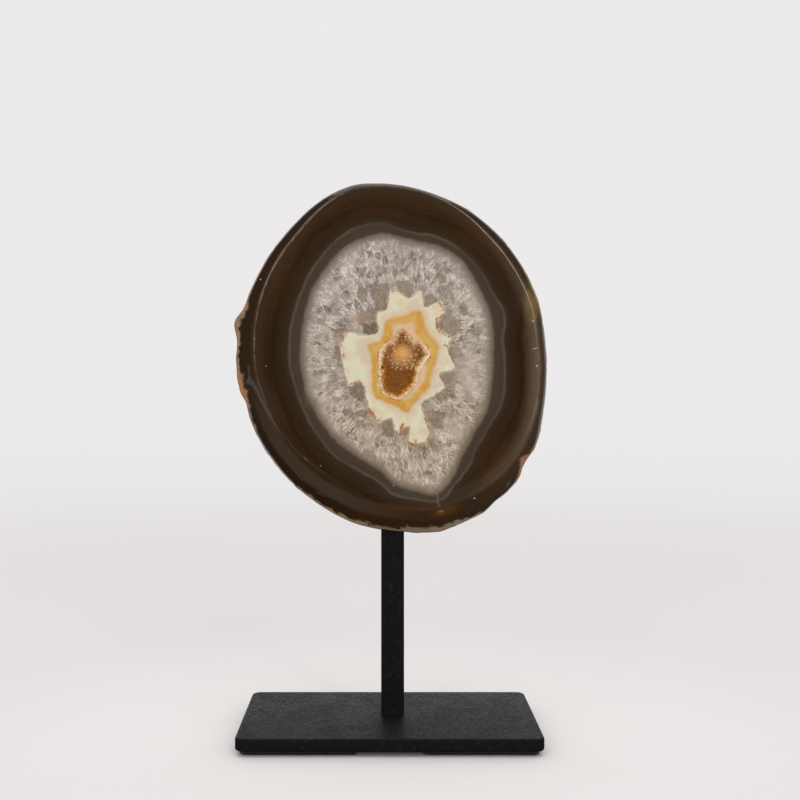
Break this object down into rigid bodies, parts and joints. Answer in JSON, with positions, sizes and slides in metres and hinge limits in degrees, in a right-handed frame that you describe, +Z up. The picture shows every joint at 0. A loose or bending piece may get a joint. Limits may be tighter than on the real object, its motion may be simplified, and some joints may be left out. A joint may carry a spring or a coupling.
{
  "type": "agate geode on stand",
  "caption": "Polished brown agate geode with a quartz ring, a cream star and a crystal-lined pocket, held upright by a square post on a flat black steel base.",
  "frame": {"origin": "on the surface the object stands on, under the middle of its bounding box", "axes": "+Z up, the polished face looks along -Y, +X to the right as one looks at the face"},
  "size_m": [0.13, 0.06, 0.2268],
  "materials": {
    "stand_paint": "satin black paint, slightly pebbled",
    "pin_steel": "plain turned",
    "felt": "black felt",
    "agate": "glass-like polish on the face and shoulder, rough rind behind",
    "druse": "small glossy golden crystals"
  },
  "bodies": {
    "root": {"base_plate": "stand_paint", "post": "stand_paint", "pin": "pin_steel", "felt_pad_left": "felt", "felt_pad_right": "felt", "stone": "agate", "crystal_crust": "druse"}
  },
  "joints": []
}
